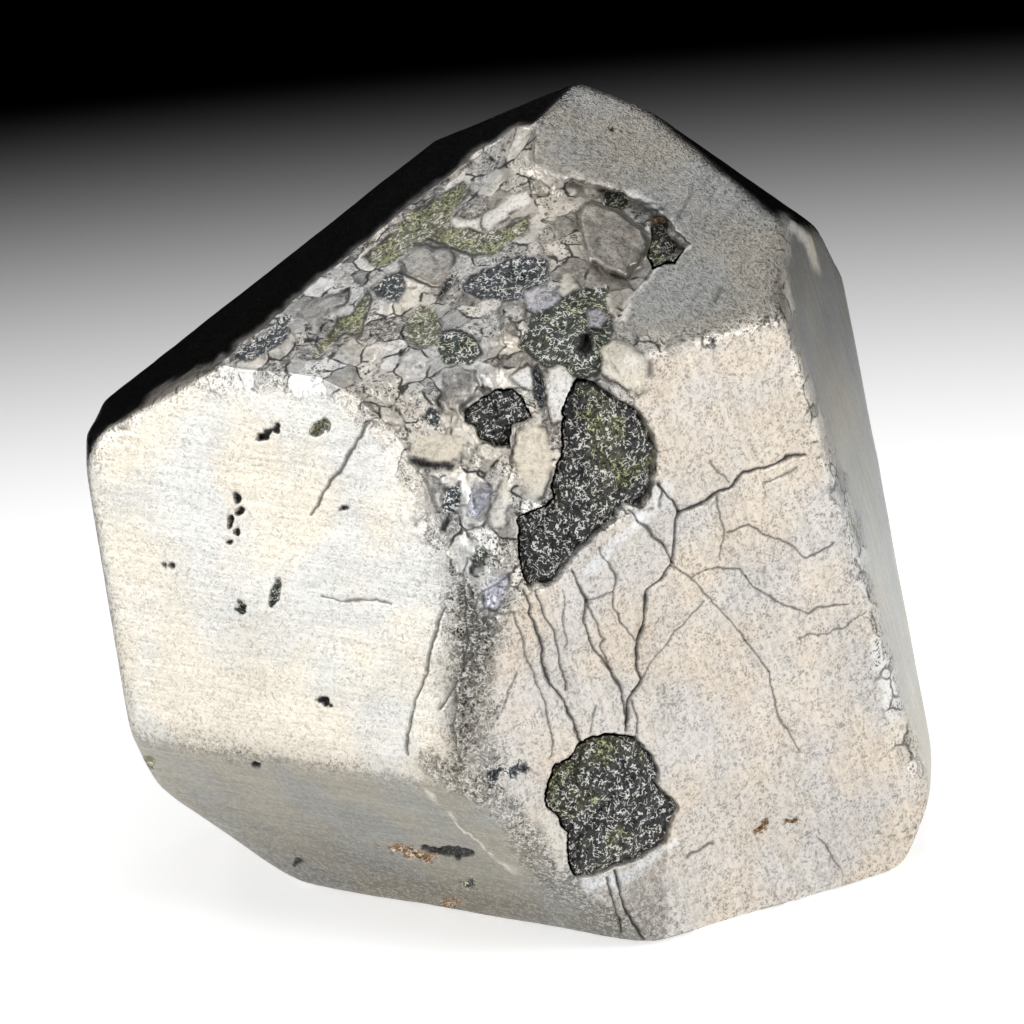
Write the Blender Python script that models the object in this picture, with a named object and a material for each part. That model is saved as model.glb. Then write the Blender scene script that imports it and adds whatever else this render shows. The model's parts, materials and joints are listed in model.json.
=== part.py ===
"""Cobaltite specimen: one stout pyritohedral crystal, broken flat underneath, with dark grains in it.

Metres, +Z up. The origin is on the surface that the crystal rests on, under the middle of its box.
-Y is the front. Each crystal face is a plane, given by the direction that it faces and its distance
from the heart, a point inside the crystal. The grains' outlines are drawn in the view from the front,
a little from above, which shows them all.
"""

import math
import random

import bmesh
import bpy
from mathutils import Matrix, Vector

MM = 0.001

# The heart's place above the origin. Every mesh is drawn round it.
HEART = Vector((0.269, 1.147, 11.84)) * MM

# Azimuth and elevation in degrees, then the distance from the heart in mm.
# The comments give each face's indices on the crystal's three cubic axes.
FACES = {
    "front_left": (-126.2, 11.7, 10.89),  # 0 1 2
    "front_under": (-124.6, -38.6, 12.24),  # 0 -1 2
    "front_right": (-60.6, 0.2, 10.19),  # 2 0 1
    "right": (-9.2, 10.6, 11.56),  # 2 0 -1
    "top": (-59.0, 61.1, 12.25),  # 1 2 0
    "top_left": (165.0, 58.5, 10.56),  # -1 2 0
    "left": (171.6, -6.9, 12.70),  # -2 0 1
    "top_right_bevel": (12.0, 47.1, 13.51),  # 1 1 -1
    "left_corner": (-166.2, 24.2, 14.37),  # -1 1 1
    "lower_left_corner": (-174.7, -45.9, 14.26),  # -1 -1 1
    "back_right": (53.6, -16.2, 8.44),  # 0 -1 -2
    "back_top": (56.3, 37.9, 11.45),  # 0 1 -2
    "back_left": (120.6, 1.5, 8.79),  # -2 0 -1
}

# Where the crystal is worn and broken: the corner between its front faces, its lower right corner,
# a hidden corner behind, and the flat break that it rests on.
BREAKS = {
    "worn_upper": (-131.6, 66.1, 10.76),
    "worn_middle": (-78.0, 19.4, 11.07),
    "lower_right_chip": (2.4, -27.4, 15.84),
    "back_chip": (82.0, 14.0, 10.95),
    "base": (0.0, -90.0, 11.84),
}
EDGE_ROUNDING = 0.28 * MM
EDGE_STEPS = 2

# The view from the front: how far it looks down, and how far its right hand side dips.
VIEW_ELEVATION = math.radians(20.5)
VIEW_ROLL = math.radians(4.8)

# Outlines in mm in that view, right and up from the heart, anticlockwise from the lowest point on the left.
# depth is how far the pocket goes in behind the face or break that it opens in, and gap is the room
# that the grain has in it.
GRAINS = {
    "lower_dark_grain": {
        "surface": "front_right",
        "depth": 2.3,
        "gap": 0.25,
        "outline": [
            (1.9, -10.9), (2.3, -12.1), (3.3, -11.7), (4.8, -10.9), (5.5, -9.6), (5.0, -8.7),
            (4.6, -7.9), (4.0, -7.2), (2.8, -7.2), (1.9, -7.8), (1.1, -8.8), (1.6, -9.9),
        ],
    },
    "central_dark_grain": {
        "surface": "worn_middle",
        "depth": 2.1,
        "gap": 0.25,
        "outline": [
            (0.4, -2.3), (1.0, -2.5), (2.0, -1.5), (3.2, -0.3), (4.2, 0.2), (4.8, 1.6), (4.5, 2.9),
            (3.4, 3.9), (2.5, 4.4), (2.6, 5.2), (3.2, 6.5), (2.0, 6.8), (0.8, 6.4), (0.5, 5.6),
            (1.6, 4.9), (1.7, 3.9), (1.3, 2.6), (1.2, 0.7), (0.2, -1.2),
        ],
    },
    "middle_dark_grain": {
        "surface": "worn_middle",
        "depth": 1.4,
        "gap": 0.15,
        "outline": [
            (-1.5, 2.5), (-0.9, 2.1), (-0.1, 2.1), (0.2, 2.6), (0.8, 3.0), (0.4, 3.8),
            (-0.3, 4.0), (-1.0, 3.9), (-1.6, 3.4),
        ],
    },
    "upper_dark_grain": {
        "surface": "top",
        "depth": 1.5,
        "gap": 0.15,
        "outline": [
            (4.5, 7.8), (5.2, 8.2), (5.9, 8.7), (5.4, 9.1), (5.2, 9.9), (4.3, 9.9), (4.3, 9.0),
            (4.2, 8.4),
        ],
    },
}
# The middle of a grain's top lies this far below the surface round its pocket, and facets fall away
# from it: how steep they are, how far out they start as a share of the grain's half length, and how
# unevenly they are spaced.
GRAIN_SINK = 0.12 * MM
GRAIN_FACETS = 9
FACET_TILT = (0.2, 0.5)
FACET_START = (0.45, 0.75)
FACET_UNEVENNESS = 0.7

# A corner of an outline moves in by at most this many times the gap.
MOST_CORNER_SHIFT = 1.8
CUTTER_RISE = 4 * MM

BLANK_SIZE = 60 * MM
ON_PLANE = 1e-8


def clear_scene():
    for obj in list(bpy.data.objects):
        bpy.data.objects.remove(obj, do_unlink=True)


def direction(azimuth, elevation):
    a = math.radians(azimuth)
    e = math.radians(elevation)
    return Vector((math.cos(e) * math.cos(a), math.cos(e) * math.sin(a), math.sin(e)))


def plane(name):
    """The normal of a face or break, and its distance from the heart in metres."""
    azimuth, elevation, distance = {**FACES, **BREAKS}[name]
    return direction(azimuth, elevation), distance * MM


def view_axes():
    """The view's right, up and towards-the-viewer directions."""
    toward = direction(-90, math.degrees(VIEW_ELEVATION))
    turn = Matrix.Rotation(-VIEW_ROLL, 3, toward)
    right = turn @ Vector((1, 0, 0))
    return right, toward.cross(right), toward


def cut_flat(bm, point, normal):
    """Takes away what lies beyond the plane, and closes the cut with one face."""
    geometry = bm.verts[:] + bm.edges[:] + bm.faces[:]
    cut = bmesh.ops.bisect_plane(
        bm, geom=geometry, dist=ON_PLANE, plane_co=point, plane_no=normal, clear_outer=True
    )
    rim = [item for item in cut["geom_cut"] if isinstance(item, bmesh.types.BMEdge)]
    if rim:
        bmesh.ops.edgeloop_fill(bm, edges=rim)


def finish_mesh(bm, name):
    """An object with this mesh, whose own origin is the heart."""
    bmesh.ops.recalc_face_normals(bm, faces=bm.faces[:])
    mesh = bpy.data.meshes.new(name)
    bm.to_mesh(mesh)
    bm.free()
    obj = bpy.data.objects.new(name, mesh)
    obj.location = HEART
    bpy.context.scene.collection.objects.link(obj)
    return obj


def material(name, colour, roughness, metallic):
    made = bpy.data.materials.new(name)
    made.use_nodes = True
    shader = made.node_tree.nodes["Principled BSDF"]
    shader.inputs["Base Color"].default_value = (*colour, 1.0)
    shader.inputs["Roughness"].default_value = roughness
    shader.inputs["Metallic"].default_value = metallic
    return made


def make_crystal():
    """A blank cut along every face and break, with its edges slightly rounded."""
    bm = bmesh.new()
    bmesh.ops.create_cube(bm, size=BLANK_SIZE)
    for name in {**FACES, **BREAKS}:
        normal, distance = plane(name)
        cut_flat(bm, normal * distance, normal)
    base_height = -plane("base")[1]
    upper_edges = [
        edge for edge in bm.edges if max(v.co.z for v in edge.verts) > base_height + ON_PLANE
    ]
    bmesh.ops.bevel(
        bm,
        geom=upper_edges,
        offset=EDGE_ROUNDING,
        offset_type="OFFSET",
        segments=EDGE_STEPS,
        profile=0.5,
        affect="EDGES",
    )
    return finish_mesh(bm, "cobaltite_crystal")


def prism(outline, surface, depth, rise):
    """A closed prism along the view, from depth below the named surface to rise above it."""
    right, up, toward = view_axes()
    normal, distance = plane(surface)
    bm = bmesh.new()
    rings = []
    for height in (-depth, rise):
        ring = []
        for u, v in outline:
            in_view = right * u + up * v
            along = (distance + height - normal.dot(in_view)) / normal.dot(toward)
            ring.append(bm.verts.new(in_view + toward * along))
        rings.append(ring)
    bm.faces.new(rings[0])
    bm.faces.new(rings[1])
    for i in range(len(outline)):
        j = (i + 1) % len(outline)
        bm.faces.new((rings[0][i], rings[0][j], rings[1][j], rings[1][i]))
    return bm


def drawn_in(outline, gap):
    """The outline moved inwards by the gap: each point goes in along the bisector of its two sides."""
    points = [Vector(p) for p in outline]
    moved = []
    for i, here in enumerate(points):
        before = (here - points[i - 1]).normalized()
        after = (points[(i + 1) % len(points)] - here).normalized()
        inward = Vector((-before.y - after.y, before.x + after.x)).normalized()
        to_side = inward.dot(Vector((-before.y, before.x)))
        moved.append(here + inward * gap * min(MOST_CORNER_SHIFT, 1 / to_side))
    return moved


def make_grain(name, spec):
    """The grain that fills a pocket, still flat on top, and the cutter that makes the pocket."""
    outline = [(u * MM, v * MM) for u, v in spec["outline"]]
    depth = spec["depth"] * MM
    cutter_bm = prism(outline, spec["surface"], depth, CUTTER_RISE)
    cutter = finish_mesh(cutter_bm, name + "_pocket_cutter")
    cutter.hide_render = True
    cutter.display_type = "WIRE"

    gap = spec["gap"] * MM
    bm = prism(drawn_in(outline, gap), spec["surface"], depth - gap, gap)
    bmesh.ops.triangulate(bm, faces=bm.faces[:])
    bmesh.ops.recalc_face_normals(bm, faces=bm.faces[:])
    return finish_mesh(bm, name), cutter


def facet_top(grain, spec, seed):
    """Cuts the grain's top into tilted facets that meet just below the surface round it."""
    draw = random.Random(seed)
    normal, distance = plane(spec["surface"])
    bm = bmesh.new()
    bm.from_mesh(grain.data)
    top = [v.co.copy() for v in bm.verts if normal.dot(v.co) > distance]
    low = Vector((min(p.x for p in top), min(p.y for p in top), min(p.z for p in top)))
    high = Vector((max(p.x for p in top), max(p.y for p in top), max(p.z for p in top)))
    middle = (low + high) / 2
    reach = (high - low).length / 2
    cut_flat(bm, normal * (distance - GRAIN_SINK), normal)
    for number in range(GRAIN_FACETS):
        turn = math.tau * (number + draw.random() * FACET_UNEVENNESS) / GRAIN_FACETS
        side = normal.orthogonal().normalized()
        side.rotate(Matrix.Rotation(turn, 3, normal))
        tilted = (normal + side * draw.uniform(*FACET_TILT)).normalized()
        spot = middle + side * reach * draw.uniform(*FACET_START)
        spot -= normal * (normal.dot(spot) - distance + GRAIN_SINK)
        cut_flat(bm, spot, tilted)
    bmesh.ops.recalc_face_normals(bm, faces=bm.faces[:])
    bm.to_mesh(grain.data)
    bm.free()


def main():
    clear_scene()
    ore = material("cobaltite", (0.52, 0.49, 0.44), 0.42, 1.0)
    dark = material("dark_mineral", (0.06, 0.065, 0.06), 0.5, 0.2)
    crystal = make_crystal()
    crystal.data.materials.append(ore)
    for seed, (name, spec) in enumerate(GRAINS.items()):
        grain, cutter = make_grain(name, spec)
        facet_top(grain, spec, seed)
        grain.data.materials.append(dark)
        pocket = crystal.modifiers.new(name + "_pocket", "BOOLEAN")
        pocket.operation = "DIFFERENCE"
        pocket.solver = "EXACT"
        pocket.object = cutter


main()
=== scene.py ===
"""The looks of the cobaltite specimen: its rounded faces, worn corner, cracks and dark grains, and a studio.

Lengths are in mm from the heart, the point inside the crystal that its faces are measured from, until a
mesh is made in metres. Outlines and cracks are drawn as the camera sees them: mm right and up from the
heart, on the plane through it that faces the camera. Depth is how far a point lies towards the camera.
"""

import json
import math

import bmesh
import bpy
import numpy as np
from mathutils import Matrix, Vector, geometry

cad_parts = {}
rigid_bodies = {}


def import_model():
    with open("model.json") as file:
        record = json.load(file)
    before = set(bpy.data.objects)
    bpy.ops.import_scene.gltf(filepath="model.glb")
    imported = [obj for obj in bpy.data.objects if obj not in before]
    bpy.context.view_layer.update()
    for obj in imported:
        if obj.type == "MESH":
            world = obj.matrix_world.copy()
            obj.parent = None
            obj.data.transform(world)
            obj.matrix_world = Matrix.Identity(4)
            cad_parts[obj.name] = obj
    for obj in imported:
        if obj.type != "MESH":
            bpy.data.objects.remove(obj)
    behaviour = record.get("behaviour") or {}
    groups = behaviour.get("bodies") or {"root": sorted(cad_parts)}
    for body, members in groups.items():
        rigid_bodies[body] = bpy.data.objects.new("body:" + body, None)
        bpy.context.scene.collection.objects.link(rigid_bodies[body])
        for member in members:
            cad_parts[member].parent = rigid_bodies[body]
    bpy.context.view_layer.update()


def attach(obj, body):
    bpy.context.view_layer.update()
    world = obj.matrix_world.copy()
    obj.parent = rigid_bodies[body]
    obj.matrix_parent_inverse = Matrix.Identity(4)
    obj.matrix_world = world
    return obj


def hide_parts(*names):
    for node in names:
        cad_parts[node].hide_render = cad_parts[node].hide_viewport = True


MM = 0.001
HEART = np.array((0.269, 1.147, 11.84))

# Azimuth and elevation in degrees, then the distance from the heart.
FACES = {
    "front_left": (-126.2, 11.7, 10.89),
    "front_under": (-124.6, -38.6, 12.24),
    "front_right": (-60.6, 0.2, 10.19),
    "right": (-9.2, 10.6, 11.56),
    "top": (-59.0, 61.1, 12.25),
    "top_left": (165.0, 58.5, 10.56),
    "left": (171.6, -6.9, 12.70),
    "top_right_bevel": (12.0, 47.1, 13.51),
    "left_corner": (-166.2, 24.2, 14.37),
    "lower_left_corner": (-174.7, -45.9, 14.26),
    "back_right": (53.6, -16.2, 8.44),
    "back_top": (56.3, 37.9, 11.45),
    "back_left": (120.6, 1.5, 8.79),
    "lower_right_chip": (2.4, -27.4, 15.84),
    "back_chip": (82.0, 14.0, 10.95),
    "base": (0.0, -90.0, 11.84),
    "front_edge_wear": (-97.0, 12.0, 12.02),
}
# How softly neighbouring faces run together, in mm, at the crystal's top and at its foot.
ROUNDING_TOP = 0.07
ROUNDING_FOOT = 0.2

# The camera: how far it looks down, how far its right hand side dips, and its distance from the heart.
CAMERA_ELEVATION = 20.5
CAMERA_ROLL = 4.8
CAMERA_DISTANCE = 460.5
LENS = 492.2
SENSOR = 36.0


def unit(vectors):
    return vectors / np.linalg.norm(vectors, axis=-1, keepdims=True)


def direction(azimuth, elevation):
    a, e = math.radians(azimuth), math.radians(elevation)
    return np.array((math.cos(e) * math.cos(a), math.cos(e) * math.sin(a), math.sin(e)))


TOWARD = direction(-90, CAMERA_ELEVATION)
TURN = np.array(Matrix.Rotation(math.radians(-CAMERA_ROLL), 3, Vector(TOWARD)))
RIGHT = TURN @ np.array((1.0, 0.0, 0.0))
UP = np.cross(TOWARD, RIGHT)

FACE_NAMES = list(FACES)
NORMALS = np.array([direction(a, e) for a, e, _ in FACES.values()])
DISTANCES = np.array([d for _, _, d in FACES.values()])
FRONT_FACING = NORMALS @ TOWARD > 0.05


def seen_at(points):
    """Where the camera sees the points, on the plane through the heart."""
    scale = CAMERA_DISTANCE / (CAMERA_DISTANCE - points @ TOWARD)
    return np.stack([points @ RIGHT, points @ UP], axis=1) * scale[:, None]


def placed(seen, depth):
    """The points at those depths that the camera sees there."""
    across = seen[:, :1] * RIGHT + seen[:, 1:] * UP
    return across * (1 - depth / CAMERA_DISTANCE)[:, None] + depth[:, None] * TOWARD


def crystal_depth(seen):
    """The depth of the crystal's faces, as if nothing were worn away."""
    across = seen[:, :1] * RIGHT + seen[:, 1:] * UP
    lean = across @ NORMALS[FRONT_FACING].T
    depths = (DISTANCES[FRONT_FACING] - lean) / (NORMALS[FRONT_FACING] @ TOWARD - lean / CAMERA_DISTANCE)
    return depths.min(axis=1)


def smoothstep(low, high, values):
    t = np.clip((values - low) / (high - low), 0, 1)
    return t * t * (3 - 2 * t)


def lattice_random(cells, seed):
    """A repeatable random number from 0 to 1 for each cell of a lattice."""
    primes = np.array((73856093, 19349663, 83492791))[: cells.shape[1]]
    mixed = (cells.astype(np.int64) * primes).sum(axis=1) + seed * 50331653
    for shift in (13, 15):
        mixed = ((mixed ^ (mixed >> shift)) * 1274126177) & 0xFFFFFFFF
    return ((mixed ^ (mixed >> 16)) & 0xFFFFFF) / 0x1000000


def smooth_noise(points, size, seed):
    """Noise from -1 to 1 with lumps about that size across."""
    scaled = points / size
    low = np.floor(scaled)
    t = scaled - low
    t = t * t * (3 - 2 * t)
    total = np.zeros(len(points))
    for corner in np.ndindex(*(2,) * points.shape[1]):
        offset = np.array(corner)
        weight = np.where(offset, t, 1 - t).prod(axis=1)
        total += weight * lattice_random(low + offset, seed)
    return total * 2 - 1


def fractal_noise(points, size, octaves, seed):
    total = np.zeros(len(points))
    for octave in range(octaves):
        total += smooth_noise(points, size / 2**octave, seed + octave) / 2**octave
    return total


def facets(points, size, tilt, seed):
    """The relief of flat facets about that size, each tilted its own way, that meet in ridges."""
    cells = np.floor(points / size)
    highest = np.full(len(points), -np.inf)
    for corner in np.ndindex(*(3,) * points.shape[1]):
        cell = cells + np.array(corner) - 1
        draws = [lattice_random(cell, seed + i) for i in range(2 * points.shape[1])]
        site = (cell + np.stack(draws[: points.shape[1]], axis=1)) * size
        lean = (np.stack(draws[points.shape[1]:], axis=1) - 0.5) * 2 * tilt
        away = points - site
        height = (away * lean).sum(axis=1) - tilt * (away**2).sum(axis=1) / size
        highest = np.maximum(highest, height)
    return highest


def distance_to_path(points, path, closed=False):
    """How far each point is from a bent line."""
    corners = np.array(path, float)
    if closed:
        corners = np.vstack([corners, corners[:1]])
    nearest = np.full(len(points), np.inf)
    for start, end in zip(corners[:-1], corners[1:]):
        along = end - start
        share = np.clip((points - start) @ along / (along @ along), 0, 1)
        gap = points - start - share[:, None] * along
        nearest = np.minimum(nearest, (gap**2).sum(axis=1))
    return np.sqrt(nearest)


def inside(points, outline):
    """Whether each point is within the outline."""
    corners = np.array(outline, float)
    crossings = np.zeros(len(points), bool)
    for (x0, y0), (x1, y1) in zip(corners, np.roll(corners, -1, axis=0)):
        spans = (y0 > points[:, 1]) != (y1 > points[:, 1])
        if y0 != y1:
            crossings ^= spans & (points[:, 0] < (x1 - x0) * (points[:, 1] - y0) / (y1 - y0) + x0)
    return crossings


def depth_inside(points, outline, reach):
    """How far each point is inside the outline, or minus how far outside. Beyond reach it is only -reach."""
    corners = np.array(outline, float)
    near = ((points > corners.min(0) - reach) & (points < corners.max(0) + reach)).all(axis=1)
    found = np.full(len(points), -reach)
    if near.any():
        away = distance_to_path(points[near], outline, closed=True)
        found[near] = np.maximum(np.where(inside(points[near], outline), away, -away), -reach)
    return found


def near_path(points, path, reach):
    """The distance to a bent line, where it is less than reach."""
    corners = np.array(path, float)
    near = ((points > corners.min(0) - reach) & (points < corners.max(0) + reach)).all(axis=1)
    found = np.full(len(points), reach)
    if near.any():
        found[near] = np.minimum(distance_to_path(points[near], path), reach)
    return found


# The worn corner's outline, in stretches along the faces that it meets, anticlockwise.
WORN_ALONG_LEFT = [
    (-9.55, 4.95), (-8.6, 4.65), (-7.55, 4.6), (-6.4, 4.4), (-5.35, 3.95), (-4.4, 3.2), (-3.55, 2.15),
    (-2.05, -1.05), (-1.7, -2.05), (-1.2, -3.05),
]
WORN_ALONG_RIGHT = [
    (-0.4, -3.55), (0.25, -2.9), (1.05, -2.45), (3.3, -0.35), (4.3, 0.2), (4.85, 1.4), (4.8, 2.6),
    (4.2, 3.35), (3.6, 4.4), (3.05, 5.65),
]
WORN_ALONG_TOP = [
    (4.2, 7.45), (4.85, 8.2), (5.9, 8.8), (4.55, 10.1), (3.7, 10.45), (2.55, 10.75), (1.6, 10.9),
    (0.7, 11.4), (0.7, 12.6),
]
WORN_ALONG_TOP_LEFT = [(0.25, 12.65), (-0.8, 12.05), (-2.75, 10.55), (-5.4, 8.45)]
WORN_OUTLINE = WORN_ALONG_LEFT + WORN_ALONG_RIGHT + WORN_ALONG_TOP + WORN_ALONG_TOP_LEFT
STEP_BELOW_TOP = 0.75
STEP_BELOW_RIGHT = 0.12


def thin_plate(points, heights):
    """A smoothly bent sheet through the heights at the points, as a function of place."""
    def bend(places):
        apart = ((places[:, None] - points[None]) ** 2).sum(axis=2)
        return 0.5 * apart * np.log(apart + 1e-12)

    count = len(points)
    flat = np.hstack([np.ones((count, 1)), points])
    system = np.zeros((count + 3, count + 3))
    system[:count, :count] = bend(points)
    system[:count, count:] = flat
    system[count:, :count] = flat.T
    weights = np.linalg.solve(system, np.concatenate([heights, np.zeros(3)]))
    return lambda places: bend(places) @ weights[:count] + weights[count] + places @ weights[count + 1:]


def make_worn_sheet():
    """The depth of the worn corner, hung from the faces round it."""
    rim = np.array(WORN_OUTLINE)
    depth = crystal_depth(rim)
    steps = (
        [0.0] * len(WORN_ALONG_LEFT)
        + [STEP_BELOW_RIGHT] * len(WORN_ALONG_RIGHT)
        + [STEP_BELOW_TOP] * len(WORN_ALONG_TOP)
        + [0.0] * len(WORN_ALONG_TOP_LEFT)
    )
    return thin_plate(rim, depth - np.array(steps))


worn_sheet = make_worn_sheet()

# Cracks: half width at its widest, then the line.
CRACKS = [
    (0.06, [(0.4, -2.6), (0.6, -3.05), (0.95, -4.3), (1.1, -5.4), (1.75, -6.3), (1.9, -6.85), (2.2, -7.55)]),
    (0.045, [(0.8, -2.6), (1.3, -3.8), (1.8, -5.85)]),
    (0.05, [(2.0, -1.9), (2.45, -2.95), (2.35, -3.5), (2.75, -4.65), (3.2, -5.2), (3.7, -6.2), (3.7, -7.2)]),
    (0.035, [(2.45, -2.95), (3.05, -4.2), (2.9, -4.4), (3.2, -5.2)]),
    (0.035, [(2.9, -1.2), (3.4, -2.25), (3.4, -3.15), (3.55, -3.6), (4.1, -4.2)]),
    (0.025, [(2.45, -2.95), (3.4, -2.65)]),
    (0.07, [(3.7, -7.15), (3.85, -6.15), (4.15, -5.55), (4.15, -4.45), (4.45, -3.5), (4.4, -2.65), (5.25, -1.7)]),
    (0.035, [(3.95, -6.2), (4.1, -6.75), (4.1, -7.25)]),
    (0.055, [(5.25, -1.7), (5.4, -1.0), (5.4, -0.1), (5.25, 0.35), (4.8, 0.9)]),
    (0.045, [(5.25, -1.7), (5.05, -1.3), (4.5, -0.55), (3.8, 0.05)]),
    (0.06, [(5.4, -0.1), (6.6, 0.55), (7.2, 0.75), (7.55, 1.2), (9.7, 1.95)]),
    (0.025, [(9.4, 1.5), (9.0, 1.2), (8.3, 1.0)]),
    (0.025, [(6.45, 1.7), (7.1, 0.95)]),
    (0.025, [(6.75, 0.5), (6.95, -0.55), (6.9, -1.5)]),
    (0.035, [(7.1, -0.6), (7.75, -0.45), (8.2, -0.75), (8.8, -0.9), (9.25, -1.15), (9.6, -1.5), (10.55, -1.0)]),
    (0.03, [(6.0, -2.15), (6.8, -1.75), (7.55, -1.85), (8.05, -2.55), (8.6, -2.85), (9.1, -3.2), (9.7, -3.4),
            (10.45, -3.05), (11.05, -3.05)]),
    (0.025, [(5.25, -1.8), (5.9, -2.15), (8.55, -5.25), (8.65, -6.25), (8.85, -6.95), (9.4, -7.85)]),
    (0.02, [(6.3, -2.9), (5.4, -3.9), (4.2, -5.55)]),
    (0.02, [(9.45, -4.1), (10.9, -3.85), (11.6, -3.4)]),
    (0.035, [(-1.5, -1.6), (-1.6, -2.05), (-1.5, -4.05), (-1.6, -5.25), (-2.35, -6.5)]),
    (0.03, [(-1.85, -5.85), (-1.85, -7.6)]),
    (0.03, [(-0.15, -2.15), (-1.1, -2.65), (-1.35, -3.5)]),
    (0.03, [(-1.6, -5.25), (-1.2, -4.55), (-1.05, -3.8), (-0.8, -3.35), (-0.4, -3.25), (0.15, -3.3),
            (0.25, -4.1), (0.55, -5.0), (0.75, -5.35), (1.4, -7.25), (1.35, -7.95), (1.2, -8.1)]),
    (0.02, [(0.2, -5.35), (-0.45, -6.8)]),
    (0.04, [(-2.25, -3.1), (-2.6, -4.2), (-3.05, -6.05), (-3.4, -6.95), (-3.4, -8.05)]),
    (0.02, [(1.7, -2.55), (1.75, -4.55)]),
    (0.025, [(2.85, -6.35), (2.6, -7.25)]),
    (0.035, [(-4.65, 3.05), (-6.6, -0.1)]),
    (0.02, [(-6.2, -2.8), (-4.0, -3.05)]),
    (0.07, [(3.3, -11.85), (3.7, -13.2), (4.25, -14.0)]),
    (0.045, [(3.1, -12.0), (3.5, -13.75)]),
    (0.03, [(5.8, -11.35), (6.6, -10.9)]),
    (0.02, [(10.1, -10.7), (10.8, -11.75)]),
    (0.02, [(6.0, 10.9), (5.5, 9.65)]),
    (0.02, [(6.95, 7.45), (6.6, 6.95)]),
]
CRACK_REACH = 1.5
SNAP = 0.032

# The dark grains, which sit in pockets: their outlines as the camera sees them.
GRAINS = {
    "lower_dark_grain": [
        (1.1, -9.45), (1.1, -8.85), (1.4, -8.35), (1.85, -8.1), (2.15, -7.6), (2.6, -7.35), (4.1, -7.35),
        (4.65, -8.0), (4.85, -8.9), (5.5, -9.65), (5.05, -10.9), (4.1, -11.5), (3.4, -11.7), (2.7, -12.05),
        (2.15, -12.15), (1.95, -11.75), (1.8, -10.55), (1.55, -10.1), (1.1, -9.75),
    ],
    "central_dark_grain": [
        (1.95, 4.3), (2.1, 4.45), (2.95, 4.3), (3.2, 4.0), (4.25, 3.35), (4.8, 2.5), (4.85, 2.1), (4.75, 1.1),
        (4.3, 0.2), (3.75, 0.2), (3.35, -0.3), (2.85, -0.75), (1.95, -1.75), (1.2, -2.45), (0.9, -2.35),
        (0.55, -2.6), (0.2, -1.65), (0.1, -0.25), (1.3, 0.45), (1.3, 1.05), (1.65, 2.0), (1.65, 2.95),
        (1.75, 3.65),
    ],
    "middle_dark_grain": [
        (-1.6, 3.4), (-1.0, 3.85), (-0.55, 4.1), (-0.05, 4.0), (0.3, 3.8), (0.7, 3.1), (0.1, 2.75),
        (-0.1, 2.45), (-0.05, 2.1), (-0.7, 2.15), (-1.1, 2.35), (-1.25, 2.65), (-1.65, 2.9),
    ],
    "upper_dark_grain": [
        (4.55, 9.5), (4.95, 9.6), (5.25, 9.2), (5.75, 8.8), (5.4, 8.15), (4.6, 7.95), (4.4, 8.45), (4.55, 9.1),
    ],
}

# How far apart the mesh's points are, in mm, and how fast that grows away from a detail.
SPACING_PLAIN = 0.8
SPACING_EDGE = 0.22
SPACING_HIDDEN_EDGE = 0.36
SPACING_WORN = 0.125
SPACING_CRACK = 0.078
SPACING_GROWTH = 0.4
START_SUBDIVISIONS = 5
MOST_ROUNDS = 9
NEWTON_STEPS = 6


def surface(directions):
    """The points of the rounded crystal in those directions from the heart."""
    low = smoothstep(0.3, -0.6, directions @ UP)
    rounding = (ROUNDING_TOP + (ROUNDING_FOOT - ROUNDING_TOP) * low)[:, None]
    facing = directions @ NORMALS.T
    radius = np.where(facing > 1e-6, DISTANCES / np.maximum(facing, 1e-6), np.inf).min(axis=1)
    for _ in range(NEWTON_STEPS):
        over = (radius[:, None] * facing - DISTANCES) / rounding
        top = over.max(axis=1, keepdims=True)
        share = np.exp(over - top)
        total = share.sum(axis=1, keepdims=True)
        height = ((top + np.log(total)) * rounding)[:, 0]
        slope = (share / total * facing).sum(axis=1)
        radius -= height / slope
    return directions * radius[:, None]


def face_of(points):
    """The index of the face that each point is on, and how far below the next face's plane it is."""
    below = DISTANCES - points @ NORMALS.T
    order = np.argpartition(below, 1, axis=1)
    first = order[:, 0]
    second = order[:, 1]
    rows = np.arange(len(points))
    return first, below[rows, second] - below[rows, first]


def longest_edge(points):
    """The spacing that the mesh needs at each point."""
    face, to_edge = face_of(points)
    shown = FRONT_FACING[face]
    spacing = np.where(shown, SPACING_EDGE, SPACING_HIDDEN_EDGE) + SPACING_GROWTH * to_edge
    seen = seen_at(points)
    worn = depth_inside(seen, WORN_OUTLINE, 2.0)
    spacing = np.where(
        shown, np.minimum(spacing, SPACING_WORN + SPACING_GROWTH * np.maximum(0, -worn)), spacing
    )
    for width, path in CRACKS:
        away = near_path(seen, path, CRACK_REACH)
        wanted = SPACING_CRACK + SPACING_GROWTH * np.maximum(0, away - width - SPACING_CRACK)
        spacing = np.where(shown & (away < CRACK_REACH), np.minimum(spacing, wanted), spacing)
    for outline in GRAINS.values():
        away = np.abs(depth_inside(seen, outline, 1.0))
        wanted = SPACING_CRACK + SPACING_GROWTH * np.maximum(0, away - SPACING_CRACK)
        spacing = np.where(shown & (away < 1.0), np.minimum(spacing, wanted), spacing)
    for _, _, centre, length, width, _ in PITS:
        away = np.linalg.norm(seen - np.array(centre), axis=1) - max(length, width)
        wanted = SPACING_CRACK + SPACING_GROWTH * np.maximum(0, away - SPACING_CRACK)
        spacing = np.where(shown & (away < 1.0), np.minimum(spacing, wanted), spacing)
    return np.minimum(spacing, SPACING_PLAIN)


def turned(rows, by):
    """Each row of three, turned round by its own number of places."""
    index = (np.arange(3)[None] + by[:, None]) % 3
    return np.take_along_axis(rows, index, axis=1)


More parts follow.
